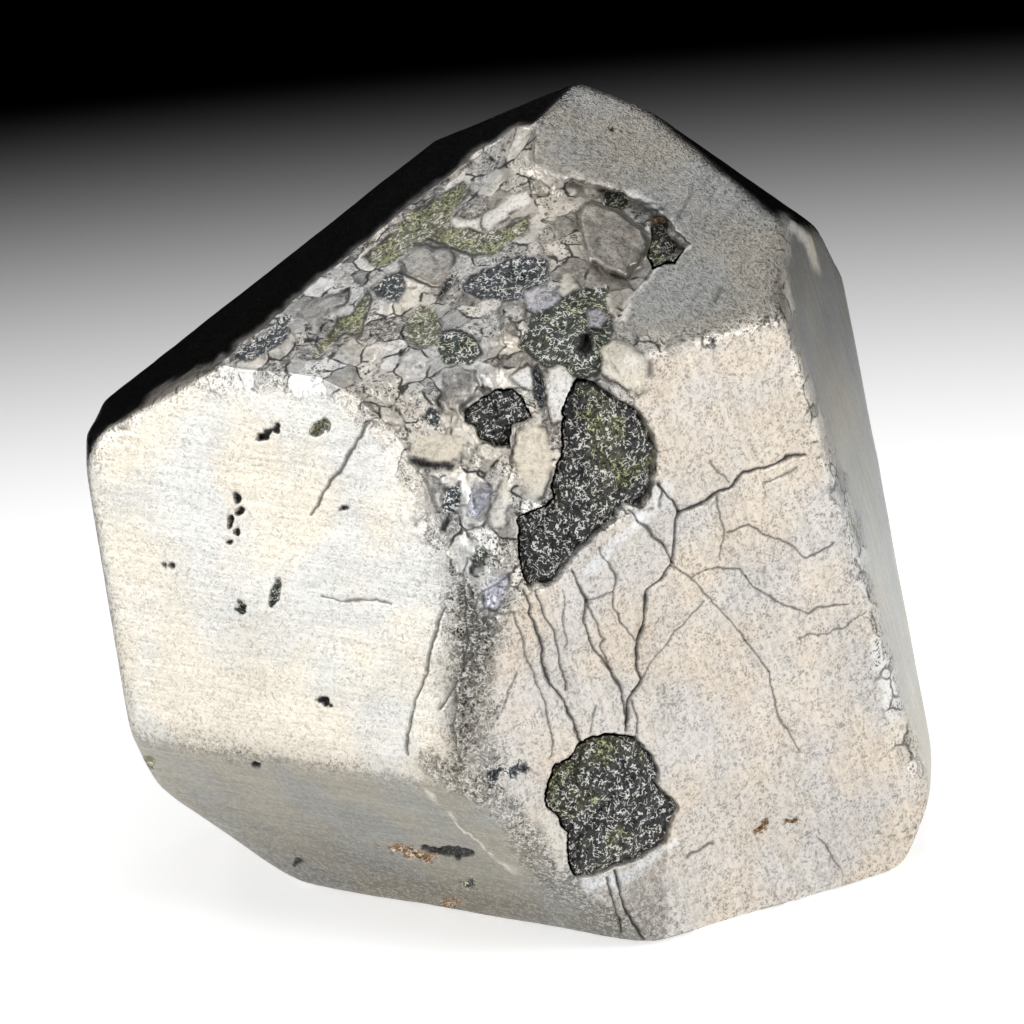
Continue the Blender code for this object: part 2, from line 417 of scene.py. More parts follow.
def split_long_edges(directions, triangles):
    """Halves every edge that is too long. Returns the new mesh and how many edges were split."""
    points = surface(directions)
    sides = np.stack([triangles, np.roll(triangles, -1, axis=1)], axis=2).reshape(-1, 2)
    sides = np.sort(sides, axis=1)
    keys, first, inverse = np.unique(
        sides[:, 0] * len(directions) + sides[:, 1], return_index=True, return_inverse=True
    )
    ends = sides[first]
    start, end = points[ends[:, 0]], points[ends[:, 1]]
    split = np.linalg.norm(start - end, axis=1) > longest_edge((start + end) / 2)
    number = np.full(len(keys), -1)
    number[split] = np.arange(split.sum()) + len(directions)
    middles = number[inverse].reshape(-1, 3)
    directions = np.vstack([directions, unit(start[split] + end[split])])
    points = np.vstack([points, (start[split] + end[split]) / 2])

    count = (middles >= 0).sum(axis=1)
    pieces = [triangles[count == 0]]

    one = count == 1
    by = np.argmax(middles[one] >= 0, axis=1)
    a, b, c = turned(triangles[one], by).T
    m = turned(middles[one], by)[:, 0]
    pieces += [np.stack(t, axis=1) for t in ((a, m, c), (m, b, c))]

    two = count == 2
    by = (np.argmax(middles[two] < 0, axis=1) + 1) % 3
    a, b, c = turned(triangles[two], by).T
    m, n, _ = turned(middles[two], by).T
    short = np.linalg.norm(points[a] - points[n], axis=1) < np.linalg.norm(points[m] - points[c], axis=1)
    pieces.append(np.stack((m, b, n), axis=1))
    pieces.append(np.where(short[:, None], np.stack((a, m, n), axis=1), np.stack((a, m, c), axis=1)))
    pieces.append(np.where(short[:, None], np.stack((a, n, c), axis=1), np.stack((m, n, c), axis=1)))

    three = count == 3
    a, b, c = triangles[three].T
    m, n, o = middles[three].T
    pieces += [np.stack(t, axis=1) for t in ((a, m, o), (m, b, n), (o, n, c), (m, n, o))]
    return directions, np.vstack(pieces), int(split.sum())


def even_out(directions, triangles, rounds):
    """Moves each point part of the way to the middle of its neighbours."""
    sides = np.vstack([triangles[:, [0, 1]], triangles[:, [1, 2]], triangles[:, [2, 0]]])
    for _ in range(rounds):
        points = surface(directions)
        total = np.zeros_like(points)
        np.add.at(total, sides[:, 0], points[sides[:, 1]])
        weight = np.bincount(sides[:, 0], minlength=len(points))[:, None]
        directions = unit(points * 0.5 + total / weight * 0.5)
    return directions


def crystal_mesh():
    """Directions from the heart and triangles, with small triangles where there is fine detail."""
    bm = bmesh.new()
    bmesh.ops.create_icosphere(bm, subdivisions=START_SUBDIVISIONS, radius=1)
    directions = unit(np.array([v.co for v in bm.verts]))
    triangles = np.array([[v.index for v in f.verts] for f in bm.faces])
    bm.free()
    for _ in range(MOST_ROUNDS):
        directions, triangles, splits = split_long_edges(directions, triangles)
        if not splits:
            break
    return snap_to_cracks(even_out(directions, triangles, 2)), triangles


# What the surface is made of, with some painted shade: colour, metallic, roughness, how speckled it is with dark
# specks and painted glints, how rough its relief is, how green its specks are, and how much it shows the outlines of
# the grains in it.
MINERALS = {
    "bright_face": ((0.62, 0.59, 0.53), 1.0, 0.42, 0.22, 0.0, 0.0, 0.0),
    "granular_face": ((0.68, 0.62, 0.55), 1.0, 0.48, 0.38, 0.0, 0.0, 0.0),
    "grey_face": ((0.47, 0.45, 0.41), 1.0, 0.42, 0.35, 0.0, 0.0, 0.0),
    # Shaded satin face: a darker copy of the crystal's colour, painted shade on the lower and far faces.
    "shaded_satin_face": ((0.36, 0.345, 0.30), 1.0, 0.42, 0.12, 0.0, 0.0, 0.0),
    # Brown painted foot shade: a brown darkening near the floor, painted shade with a brown tint.
    "brown_painted_foot_shade": ((0.20, 0.18, 0.145), 0.9, 0.5, 0.35, 0.0, 0.1, 0.0),
    "side_face": ((0.58, 0.57, 0.52), 1.0, 0.36, 0.10, 0.0, 0.0, 0.0),
    "glossy_face": ((0.36, 0.35, 0.335), 1.0, 0.17, 0.06, 0.0, 0.0, 0.0),
    "worn_cobaltite": ((0.70, 0.665, 0.61), 0.7, 0.45, 0.75, 1.0, 0.0, 1.0),
    # On the edge that faces the camera this dark colour is a painted dark reflection; elsewhere it is dark granular
    # texture.
    "dark_granular_and_painted_reflection": ((0.27, 0.255, 0.225), 0.8, 0.5, 0.8, 0.6, 0.1, 0.2),
    "grey_facet": ((0.42, 0.395, 0.36), 1.0, 0.45, 0.3, 0.25, 0.0, 0.1),
    "lilac": ((0.55, 0.54, 0.585), 0.7, 0.40, 0.6, 0.7, 0.0, 0.3),
    "cream": ((0.80, 0.745, 0.64), 0.2, 0.55, 0.25, 0.25, 0.0, 0.15),
    "white": ((0.92, 0.90, 0.87), 0.1, 0.5, 0.35, 0.3, 0.0, 0.1),
    "olive": ((0.24, 0.24, 0.15), 0.0, 0.65, 0.9, 0.9, 1.0, 0.1),
    "blue_black": ((0.075, 0.09, 0.105), 0.3, 0.40, 1.0, 1.1, 0.1, 0.0),
    "green_black": ((0.075, 0.09, 0.07), 0.2, 0.45, 1.0, 1.1, 0.6, 0.0),
    "black": ((0.008, 0.008, 0.008), 0.0, 0.6, 0.1, 0.5, 0.0, 0.0),
    "rust": ((0.30, 0.17, 0.07), 0.0, 0.7, 0.8, 0.8, 0.4, 0.0),
    "crack": ((0.012, 0.011, 0.009), 0.0, 0.8, 0.0, 0.0, 0.0, 0.0),
}
FACE_MINERALS = {
    "front_left": "bright_face",
    "front_right": "granular_face",
    "top": "grey_face",
    # The lower faces take the darker colour, a painted shade.
    "front_under": "shaded_satin_face",
    "lower_left_corner": "shaded_satin_face",
    "lower_right_chip": "granular_face",
    "right": "side_face",
    "top_left": "glossy_face",
    "left_corner": "glossy_face",
    "top_right_bevel": "glossy_face",
    "left": "shaded_satin_face",
    "back_right": "granular_face",
    "back_top": "grey_face",
    "back_left": "bright_face",
    "back_chip": "worn_cobaltite",
    "base": "worn_cobaltite",
    # The edge facing the camera is painted dark: a painted reflection of the dark in front of it.
    "front_edge_wear": "dark_granular_and_painted_reflection",
}
METALLIC, ROUGHNESS, SPECKLE, RELIEF, GREEN, GRAINY = range(3, 9)
MINERAL_ROWS = {name: np.array((*spec[0], *spec[1:])) for name, spec in MINERALS.items()}

# Patches of other minerals in the worn corner: mineral, height in mm, outline.
PATCHES = {
    "olive_band": ("olive", -0.12, [
        (-4.8, 8.4), (-3.05, 10.0), (-2.05, 10.55), (-1.65, 10.9), (-1.4, 10.6), (-2.1, 9.75), (-1.0, 9.1),
        (-0.4, 9.3), (0.6, 9.75), (0.55, 9.2), (-0.05, 8.95), (-0.45, 8.55), (-1.3, 8.45), (-2.65, 8.9),
        (-3.2, 8.8), (-3.8, 8.25), (-4.55, 8.1)]),
    "long_white_grain": ("white", 0.15, [
        (-1.05, 9.35), (-1.0, 9.75), (0.1, 10.5), (0.55, 10.6), (0.6, 10.25), (0.1, 9.85), (-0.8, 9.2)]),
    "left_white_grain": ("white", 0.1, [
        (-2.05, 9.65), (-1.65, 9.55), (-1.0, 9.75), (-1.0, 9.15), (-2.05, 9.4)]),
    "smooth_island": ("grey_facet", 0.6, [
        (2.55, 10.25), (3.55, 10.1), (4.2, 9.45), (4.55, 8.8), (4.2, 8.2), (3.7, 7.7), (3.05, 7.9),
        (2.55, 8.2), (2.25, 8.95), (2.05, 9.75)]),
    "brown_facet": ("grey_facet", 0.1, [
        (-3.8, 8.2), (-3.2, 8.75), (-2.05, 8.7), (-1.95, 8.2), (-2.35, 7.35), (-3.5, 7.8)]),
    "small_blue_patch": ("blue_black", -0.15, [
        (-4.55, 7.3), (-4.2, 7.8), (-3.6, 7.9), (-3.55, 7.45), (-3.8, 6.95), (-4.35, 6.95)]),
    "large_blue_patch": ("blue_black", -0.2, [
        (-1.65, 7.55), (-1.05, 7.95), (0.25, 8.4), (1.2, 8.35), (1.2, 7.65), (0.25, 6.95), (-1.05, 7.05),
        (-1.55, 7.25)]),
    "bright_blob": ("cream", 0.2, [
        (1.4, 7.3), (1.65, 7.75), (1.95, 7.85), (2.2, 7.45), (2.05, 7.05), (1.6, 7.05)]),
    "lilac_facet": ("lilac", 0.0, [
        (0.35, 7.3), (0.9, 7.5), (1.45, 7.3), (1.8, 6.95), (1.8, 6.4), (1.1, 6.3), (0.45, 6.65)]),
    "neck_patch": ("green_black", -0.25, [
        (0.7, 6.4), (2.0, 7.3), (3.2, 7.55), (3.15, 6.95), (3.3, 6.0), (2.9, 4.6), (2.4, 4.35), (0.9, 4.85),
        (0.25, 5.5)]),
    "lilac_speck": ("lilac", -0.05, [(2.4, 6.6), (2.9, 6.7), (3.15, 6.4), (2.9, 5.95), (2.5, 6.05)]),
    "dark_hole": ("black", -0.7, [(2.15, 5.25), (2.35, 5.8), (2.55, 5.85), (2.7, 5.35), (2.45, 5.1)]),
    "cream_patch": ("cream", 0.1, [
        (2.85, 5.25), (3.2, 5.55), (3.9, 5.45), (4.5, 5.0), (4.45, 4.0), (4.2, 3.85), (3.4, 4.2),
        (2.95, 4.5)]),
    "rounded_grain": ("worn_cobaltite", 0.2, [
        (-0.45, 6.0), (-0.35, 6.7), (0.1, 7.0), (0.45, 6.8), (0.55, 6.05), (0.25, 5.5), (-0.25, 5.5)]),
    "green_patch": ("olive", -0.1, [
        (-3.5, 6.3), (-3.1, 6.85), (-2.5, 6.65), (-2.3, 6.15), (-2.5, 5.5), (-3.05, 5.4), (-3.4, 5.7)]),
    "round_green_grain": ("green_black", -0.1, [
        (-2.5, 5.45), (-2.2, 5.9), (-1.65, 6.0), (-1.1, 5.7), (-1.0, 5.25), (-1.4, 4.9), (-2.05, 4.85),
        (-2.35, 5.1)]),
    "smooth_grey_grain": ("grey_facet", 0.15, [
        (-2.25, 4.6), (-1.7, 4.8), (-1.2, 4.75), (-1.1, 4.2), (-1.2, 3.85), (-1.65, 3.5), (-1.7, 3.05),
        (-2.35, 3.2), (-2.5, 3.7), (-2.3, 4.0)]),
    "lumpy_white_grain": ("white", 0.1, [
        (-0.1, 4.35), (0.2, 4.75), (0.6, 4.8), (0.8, 4.45), (0.75, 4.0), (0.25, 4.1)]),
    "dark_vein": ("blue_black", -0.25, [
        (0.65, 4.65), (0.9, 4.75), (1.1, 4.2), (1.2, 3.5), (0.9, 3.4), (0.7, 3.85)]),
    "white_grain": ("white", 0.12, [
        (1.1, 4.75), (1.5, 4.85), (1.95, 4.55), (1.95, 4.0), (1.65, 2.95), (1.35, 2.9), (1.2, 3.5),
        (1.2, 4.0)]),
    "large_cream_grain": ("cream", 0.2, [
        (0.0, 2.15), (0.25, 2.65), (0.65, 2.9), (1.1, 2.75), (1.3, 2.2), (1.3, 1.4), (1.1, 0.5),
        (0.75, 0.45), (0.45, 0.65), (0.2, 1.4), (-0.05, 1.7)]),
    "white_lens": ("white", 0.05, [(1.4, 2.15), (1.5, 2.2), (1.55, 1.8), (1.45, 1.65)]),
    "left_dark_grain": ("blue_black", -0.15, [
        (-2.95, 3.1), (-2.7, 3.4), (-2.45, 3.2), (-2.35, 2.8), (-2.7, 2.75)]),
    "olive_facet": ("cream", 0.05, [
        (-3.4, 1.8), (-3.15, 2.45), (-2.35, 2.55), (-1.65, 2.45), (-1.7, 1.8), (-2.35, 1.65)]),
    "black_slit": ("black", -0.4, [(-3.4, 1.75), (-1.85, 1.6), (-2.05, 1.45), (-2.7, 1.5), (-3.35, 1.6)]),
    "square_dark_grain": ("blue_black", -0.15, [
        (-2.3, 0.85), (-1.8, 1.0), (-1.65, 0.4), (-1.8, 0.0), (-2.05, -0.1), (-2.3, 0.05)]),
    "dark_tail": ("black", -0.15, [(-2.15, 0.0), (-2.0, -0.05), (-2.15, -0.6), (-2.3, -0.55)]),
    "lower_lilac_facet": ("lilac", 0.0, [
        (-1.45, 0.4), (-1.2, 1.0), (-0.7, 1.0), (-0.8, 0.4), (-1.1, -0.15), (-1.4, -0.05)]),
    "lower_cream_grain": ("cream", 0.05, [
        (-0.65, 0.4), (-0.4, 1.05), (-0.15, 1.05), (-0.05, 0.4), (-0.2, -0.45), (-0.6, -0.5),
        (-0.8, -0.2)]),
    "small_green_grain": ("green_black", -0.15, [
        (-1.4, -1.6), (-1.1, -1.2), (-0.75, -1.35), (-0.85, -1.75), (-1.25, -1.75)]),
    "dark_notch": ("black", -0.2, [(-1.35, -1.8), (-1.25, -1.8), (-1.05, -2.1), (-1.2, -2.15)]),
    "lowest_lilac_facet": ("lilac", 0.0, [
        (-1.05, -2.55), (-0.7, -2.15), (-0.1, -2.05), (-0.15, -2.75), (-0.55, -3.2), (-1.0, -3.15)]),
    "long_blue_patch": ("blue_black", -0.12, [
        (-9.3, 5.0), (-8.6, 5.5), (-7.45, 6.5), (-7.25, 6.4), (-7.45, 5.8), (-8.05, 5.25), (-8.6, 4.95)]),
    "edge_dark_speck": ("blue_black", -0.1, [(-6.9, 5.85), (-6.8, 6.25), (-6.6, 6.25), (-6.6, 5.85)]),
    "rusty_green_band": ("olive", -0.15, [
        (-6.75, 5.0), (-6.05, 5.65), (-5.8, 6.4), (-5.35, 6.45), (-4.65, 7.15), (-4.55, 6.95),
        (-5.0, 5.85), (-5.65, 5.8), (-6.4, 5.05)]),
    "smooth_left_facet": ("grey_facet", 0.1, [
        (-7.15, 6.4), (-6.65, 6.95), (-6.0, 7.25), (-5.35, 7.3), (-5.4, 6.95), (-6.3, 6.4),
        (-6.8, 6.25)]),
    "half_disc": ("green_black", -0.1, [
        (2.95, 10.1), (3.05, 10.45), (3.35, 10.65), (3.7, 10.55), (3.8, 10.05), (3.35, 10.0)]),
    "black_wedge": ("blue_black", -0.3, [
        (-2.35, 7.05), (-2.2, 7.65), (-1.95, 8.05), (-2.0, 7.45), (-2.25, 6.9)]),
    "upper_white_speck": ("white", 0.1, [
        (1.0, 10.9), (1.25, 11.1), (1.45, 11.0), (1.35, 10.8), (1.1, 10.8)]),
    "rim_white_speck": ("white", 0.1, [
        (2.25, 10.6), (2.55, 10.7), (2.85, 10.6), (2.75, 10.45), (2.35, 10.45)]),
    "light_prism": ("white", 0.1, [(4.4, 0.15), (4.6, 0.9), (4.8, 1.0), (4.95, 0.65), (4.75, 0.05)]),
    "white_sliver": ("white", 0.1, [(3.8, -0.05), (4.0, 0.15), (4.4, 0.05), (4.3, -0.2), (3.95, -0.2)]),
    "bright_sliver": ("white", 0.1, [
        (4.3, 10.15), (4.6, 10.2), (5.0, 10.0), (4.7, 9.95), (4.4, 10.0)]),
    "rust_patch": ("rust", 0.0, [(4.55, 9.75), (4.95, 9.75), (5.1, 9.4), (4.7, 9.35)]),
}
PATCH_EDGE = 0.05
PATCH_REACH = 0.5

# Pits and specks on the faces: mineral, depth, outline centre, half length, half width, turn in degrees.
PITS = [
    ("olive", 0.25, (-6.2, 2.8), 0.38, 0.26, 20),
    ("black", 0.3, (-8.0, 2.65), 0.34, 0.16, 60),
    ("black", 0.2, (-9.0, 0.45), 0.14, 0.09, 80),
    ("black", 0.2, (-8.95, 0.05), 0.2, 0.1, 60),
    ("black", 0.25, (-9.3, -0.35), 0.42, 0.08, 80),
    ("green_black", 0.25, (-9.1, -0.65), 0.2, 0.15, 60),
    ("black", 0.2, (-9.3, -0.95), 0.16, 0.08, 20),
    ("black", 0.12, (-11.2, -1.8), 0.09, 0.07, -40),
    ("black", 0.15, (-5.6, 0.1), 0.18, 0.09, 0),
    ("green_black", 0.2, (-7.75, -2.7), 0.33, 0.13, 75),
    ("green_black", 0.2, (-8.95, -3.1), 0.22, 0.17, 0),
    ("black", 0.2, (-6.1, -6.25), 0.24, 0.18, 0),
    ("black", 0.12, (-11.45, -1.8), 0.1, 0.08, 0),
    ("black", 0.3, (-8.4, -8.35), 0.2, 0.13, 0),
    ("olive", 0.15, (-12.0, -8.2), 0.3, 0.2, -40),
    ("rust", 0.15, (-3.3, -11.2), 0.9, 0.22, -12),
    ("black", 0.2, (-2.1, -11.2), 0.9, 0.16, -10),
    ("green_black", 0.12, (-1.4, -12.2), 0.28, 0.16, -20),
    ("rust", 0.1, (-1.95, -12.85), 0.38, 0.2, 0),
    ("black", 0.1, (-7.1, -11.55), 0.22, 0.1, 0),
    ("rust", 0.15, (8.25, -10.4), 0.35, 0.16, 20),
    ("rust", 0.12, (9.2, -10.1), 0.2, 0.1, 10),
    ("blue_black", 0.25, (0.1, -8.55), 0.32, 0.2, 20),
    ("blue_black", 0.25, (-0.65, -8.75), 0.28, 0.18, 40),
    ("black", 0.1, (1.05, 12.8), 0.07, 0.07, 0),
    ("black", 0.1, (3.35, 12.7), 0.07, 0.07, 0),
]


def pit_inside(points, centre, length, width, turn):
    """How far each point is inside a pit's rim, in mm, at most its half width."""
    a = math.radians(turn)
    away = points - np.array(centre)
    along = away @ np.array((math.cos(a), math.sin(a))) / length
    across = away @ np.array((-math.sin(a), math.cos(a))) / width
    return (1 - np.sqrt(along**2 + across**2)) * width


class Skin:
    """What each point of the surface is made of: a row of MINERALS for each point."""

    def __init__(self, shares):
        table = np.array([MINERAL_ROWS[FACE_MINERALS[name]] for name in FACE_NAMES])
        self.rows = shares @ table

    def lay(self, mineral, share):
        """Covers that share of each point with the mineral."""
        self.rows += share[:, None] * (MINERAL_ROWS[mineral] - self.rows)


# Bands along edges and rims: mineral, half width, how much of it covers, line.
BANDS = [
    # The first band darkens the rounded edge between the front faces: a painted dark reflection.
    ("dark_granular_and_painted_reflection", 0.45, 0.75, [(-0.55, -3.3), (-0.85, -4.5), (-1.0, -6.2), (-1.1, -7.5), (-0.9, -9.0)]),
    ("dark_granular_and_painted_reflection", 0.4, 0.7, [(-2.6, -8.4), (-0.7, -9.2), (0.4, -10.5), (1.6, -12.3), (3.2, -13.6)]),
    ("worn_cobaltite", 0.35, 0.8, [(-10.2, 4.25), (-8.6, 4.4), (-6.4, 4.2), (-4.3, 2.9), (-2.3, -1.3)]),
    ("worn_cobaltite", 0.3, 0.9, [(8.9, 6.5), (7.1, 5.9), (5.9, 5.5), (4.4, 5.5), (3.3, 5.6)]),
    ("worn_cobaltite", 0.2, 0.8, [(8.95, 9.7), (8.95, 6.6)]),
    ("worn_cobaltite", 0.25, 0.8, [(9.1, 5.7), (10.2, 2.4), (11.2, -0.6), (12.2, -5.0), (13.1, -8.5)]),
    ("worn_cobaltite", 0.16, 0.7, [(-13.6, 2.2), (-11.3, 4.0), (-9.6, 5.0)]),
    # The next two white bands are bright lines on the worn corner's top rim: painted highlights.
    ("white", 0.14, 0.8, [(0.7, 11.4), (1.6, 10.95), (2.6, 10.8), (3.7, 10.5), (4.6, 10.15)]),
    ("white", 0.1, 0.8, [(5.9, 8.8), (4.85, 8.15), (4.2, 7.4), (3.6, 6.4)]),
    ("white", 0.16, 0.8, [(2.5, -2.0), (3.4, -1.0), (4.3, -0.2), (5.1, 0.35), (5.15, 0.9)]),
    ("white", 0.14, 0.85, [(2.5, -12.3), (3.6, -12.05), (4.5, -11.45), (5.3, -10.9)]),
    ("cream", 0.2, 0.8, [(1.05, -10.0), (1.45, -10.8), (1.75, -11.6)]),
    ("white", 0.03, 0.6, [(-3.2, -8.75), (-1.55, -10.5), (0.0, -11.8), (1.0, -12.6), (1.7, -13.7)]),
    ("olive", 0.12, 0.7, [(11.0, -0.1), (11.25, -0.6)]),
    ("rust", 0.05, 0.7, [(4.05, 8.8), (3.75, 8.4), (3.7, 7.6)]),
    ("cream", 0.12, 0.6, [(9.2, 9.45), (9.7, 8.9), (10.0, 8.0)]),
]


def edge_shares(points):
    """How much each point belongs to each face, and how near it is to an edge, from 0 to 1."""
    below = DISTANCES - points @ NORMALS.T
    wobble = np.stack([smooth_noise(points, 0.5, 70 + i) for i in range(len(FACE_NAMES))], axis=1)
    below = below + 0.05 * wobble
    shares = np.exp(-(below - below.min(axis=1, keepdims=True)) / 0.05)
    return shares / shares.sum(axis=1, keepdims=True)


def worn_relief(seen):
    """The bumps of the worn corner's own surface."""
    warped = seen + 0.12 * np.stack([smooth_noise(seen, 0.5, 31), smooth_noise(seen, 0.5, 32)], axis=1)
    large = facets(warped, 1.3, 0.3, 41)
    small = facets(warped, 0.45, 0.5, 42)
    fine = fractal_noise(seen, 0.25, 2, 43)
    return large + 0.6 * small + 0.03 * fine


def bent(seen):
    """The view, bent a little so that no drawn line is straight."""
    warp = 0.09 * np.stack([smooth_noise(seen, 0.7, 11), smooth_noise(seen, 0.7, 12)], axis=1)
    warp += 0.05 * np.stack([smooth_noise(seen, 0.28, 13), smooth_noise(seen, 0.28, 14)], axis=1)
    warp += 0.02 * np.stack([smooth_noise(seen, 0.12, 15), smooth_noise(seen, 0.12, 16)], axis=1)
    return seen + warp


def nearest_on_path(points, path):
    """The nearest place on a bent line to each point."""
    corners = np.array(path, float)
    best = np.full(len(points), np.inf)
    nearest = np.zeros_like(points)
    for start, end in zip(corners[:-1], corners[1:]):
        along = end - start
        share = np.clip((points - start) @ along / (along @ along), 0, 1)
        place = start + share[:, None] * along
        away = ((points - place) ** 2).sum(axis=1)
        closer = away < best
        best[closer] = away[closer]
        nearest[closer] = place[closer]
    return nearest


def snap_to_cracks(directions):
    """Slides the points beside each crack onto its middle, so that a thin crack stays whole."""
    points = surface(directions)
    shown = FRONT_FACING[face_of(points)[0]]
    seen = seen_at(points)
    warped = bent(seen)
    for _, path in CRACKS:
        near = shown & (near_path(warped, path, 0.3) < SNAP)
        if near.any():
            slide = nearest_on_path(warped[near], path) - warped[near]
            seen[near] += slide
            warped[near] += slide
    return unit(placed(seen, points @ TOWARD))


def sculpt(directions):
    """The crystal's points with all their detail, and the skin of each point."""
    points = surface(directions)
    face, to_edge = face_of(points)
    shown = FRONT_FACING[face]
    seen = seen_at(points)
    warped = bent(seen)
    shares = edge_shares(points)
    skin = Skin(shares)
    near_edge = np.exp(-to_edge / 0.25) * (0.6 + 0.6 * smooth_noise(points, 0.8, 23))
    skin.rows[:, SPECKLE] += 0.5 * np.clip(near_edge, 0, 1)

    for mineral, width, cover, path in BANDS:
        away = np.where(shown, near_path(warped, path, 3 * width), 3 * width)
        uneven = smooth_noise(seen, 2.5 * width, 24) + 0.7 * smooth_noise(seen, 0.2, 25)
        skin.lay(mineral, cover * smoothstep(1.5, 0.5, away / width + 0.5 * uneven))

    # Darker and browner towards the floor on the lower left faces: painted shade.
    foot_height = points[:, 2] + HEART[2] + 0.8 * fractal_noise(points, 2.0, 3, 28)
    skin.lay("brown_painted_foot_shade", 0.65 * np.where(points @ RIGHT < 5, smoothstep(4.2, 0.6, foot_height), 0))

    worn = np.where(shown, depth_inside(warped, WORN_OUTLINE, 2.0), -2.0)
    worn_share = smoothstep(-0.03, 0.06, worn)
    skin.lay("worn_cobaltite", smoothstep(-0.2, 0.1, worn))
    height = np.zeros(len(points))
    rim = np.zeros(len(points))
    for mineral, rise, outline in PATCHES.values():
        deep = np.where(shown, depth_inside(warped, outline, PATCH_REACH), -PATCH_REACH)
        share = smoothstep(-PATCH_EDGE / 2, PATCH_EDGE / 2, deep)
        skin.lay(mineral, share)
        height += share * (rise * smoothstep(0, 0.15, deep) - height)
        rim = np.maximum(rim * (1 - share), smoothstep(0.09, 0.02, np.abs(deep)))
    rim *= smoothstep(-0.5, 0.3, smooth_noise(seen, 0.6, 26))
    skin.lay("crack", 0.9 * rim)
    height -= 0.08 * rim

    inner = (worn_share > 0) & shown
    sheet = worn_sheet(seen[inner])
    roughness = np.minimum(1, 0.25 + skin.rows[inner, RELIEF])
    relief = worn_relief(seen[inner]) * roughness * smoothstep(0, 0.5, worn[inner])
    target = sheet + relief + height[inner]
    depth = points @ TOWARD
    depth[inner] += worn_share[inner] * (target - depth[inner])
    moved = placed(seen, depth)

    push = np.zeros(len(points))
    uneven = 1 + 0.45 * smooth_noise(seen, 0.5, 27)
    for width, path in CRACKS:
        away = np.where(shown, near_path(warped, path, 0.3), 0.3) / uneven
        push -= 1.3 * width * np.maximum(0, 1 - away / (1.1 * width + 0.01))
        skin.lay("crack", min(1, 0.45 + 9 * width) * smoothstep(0.7 * width + 0.04, 0.2 * width, away))
    ragged = smooth_noise(seen, 0.22, 29) + 0.5 * smooth_noise(seen, 0.11, 30)
    for mineral, drop, centre, length, width, turn in PITS:
        deep = np.where(shown, pit_inside(warped, centre, length, width, turn), -1.0)
        deep += 0.6 * width * ragged
        push -= drop * smoothstep(0, 0.8 * width, deep)
        skin.lay(mineral, smoothstep(-0.02, 0.03, deep))
    # The black laid in each grain's pocket is painted shade in the gap round the grain.
    for outline in GRAINS.values():
        deep = np.where(shown, depth_inside(warped, outline, 0.5), -0.5)
        push -= 1.2 * smoothstep(0, 0.12, deep)
        skin.lay("black", smoothstep(0.0, 0.06, deep))

    wear = np.exp(-to_edge / 0.2) * (0.4 + fractal_noise(points, 1.6, 4, 21))
    push -= 0.035 * wear
    push += 0.015 * fractal_noise(points, 3.0, 2, 22)
    moved += (shares @ NORMALS) * push[:, None]
    return moved, skin, face


def to_mesh(name, points, triangles):
    """A mesh object in metres, smooth shaded, from points in mm round the heart."""
    mesh = bpy.data.meshes.new(name)
    mesh.vertices.add(len(points))
    mesh.vertices.foreach_set("co", ((points + HEART) * MM).astype(np.float32).ravel())
    mesh.loops.add(triangles.size)
    mesh.loops.foreach_set("vertex_index", triangles.astype(np.int32).ravel())
    mesh.polygons.add(len(triangles))
    mesh.polygons.foreach_set("loop_start", np.arange(0, triangles.size, 3, dtype=np.int32))
    mesh.update(calc_edges=True)
    mesh.shade_smooth()
    obj = bpy.data.objects.new(name, mesh)
    bpy.context.scene.collection.objects.link(obj)
    return obj


def store_skin(mesh, skin, growth):
    """Keeps the skin in the mesh, for its material to read."""
    def colours(name, values):
        layer = mesh.attributes.new(name, "FLOAT_COLOR", "POINT")
        layer.data.foreach_set("color", values.astype(np.float32).ravel())

    rows = np.clip(skin.rows, 0, 1)
    colours("tint", rows[:, [0, 1, 2, GREEN]])
    colours("finish", rows[:, [METALLIC, ROUGHNESS, SPECKLE, GRAINY]])
    layer = mesh.attributes.new("growth", "FLOAT_VECTOR", "POINT")
    layer.data.foreach_set("vector", growth.astype(np.float32).ravel())


# The crystal's own three cubic axes, from the faces' indices: 0 1 2, 2 0 1 and 1 2 0.
AXES = np.linalg.inv(np.array([(0, 1, 2), (2, 0, 1), (1, 2, 0)]) / math.sqrt(5)) @ np.array(
    [direction(*FACES[name][:2]) for name in ("front_left", "front_right", "top")]
)
STRIATION_AXIS = {
    "front_left": 0, "front_under": 0, "back_right": 0, "back_top": 0,
    "front_right": 1, "right": 1, "left": 1, "back_left": 1,
    "top": 2, "top_left": 2,
}
STRETCH = 0.07


def growth_coordinates(points, face):
    """Places along the crystal's axes, squeezed along the growth lines of each face, which draws them out."""
    along_axes = points @ unit(AXES).T
    squeeze = np.ones((len(FACE_NAMES), 3))
    for name, axis in STRIATION_AXIS.items():
        squeeze[FACE_NAMES.index(name), axis] = STRETCH
    return along_axes * squeeze[face]


